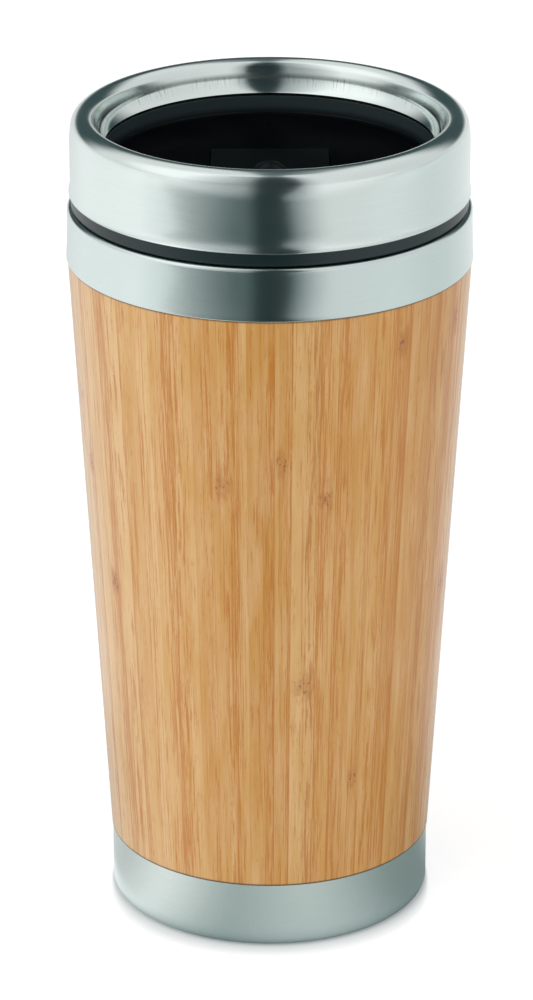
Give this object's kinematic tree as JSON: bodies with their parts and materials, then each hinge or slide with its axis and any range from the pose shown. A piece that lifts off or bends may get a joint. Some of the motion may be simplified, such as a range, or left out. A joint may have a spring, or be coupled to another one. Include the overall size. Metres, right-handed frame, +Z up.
{
  "type": "travel mug",
  "caption": "Tapered travel mug: double-wall steel cup in a bamboo sleeve between a steel collar and base, with a push-in black lid that has a steel ring and a drink slider.",
  "frame": {"origin": "centre of the foot ring, on the surface the mug stands on", "axes": "+Z up along the mug's axis, -Y towards the drinking side of the lid, +X to the right seen from that side"},
  "size_m": [0.085, 0.085, 0.175],
  "materials": {
    "satin_steel": "satin",
    "drawn_steel": "brushed",
    "bamboo": "clear satin lacquer",
    "black_plastic": "satin",
    "silicone": "matte"
  },
  "bodies": {
    "mug": {"inner_liner": "drawn_steel", "outer_shell": "drawn_steel", "bamboo_sleeve": "bamboo", "base_cup": "satin_steel", "collar_band": "satin_steel"},
    "lid": {"lid_body": "black_plastic", "lid_ring": "satin_steel", "lid_seal": "silicone"},
    "slider": {"drink_slider": "black_plastic", "slider_clip": "black_plastic"}
  },
  "joints": [
    {"name": "lid_lift", "type": "slide", "parent": "mug", "child": "lid", "axis": [0, 0, 1], "range_m": [0, 0.06]},
    {"name": "slider_open", "type": "slide", "parent": "lid", "child": "slider", "axis": [0, 1, 0], "range_m": [0, 0.013]}
  ]
}
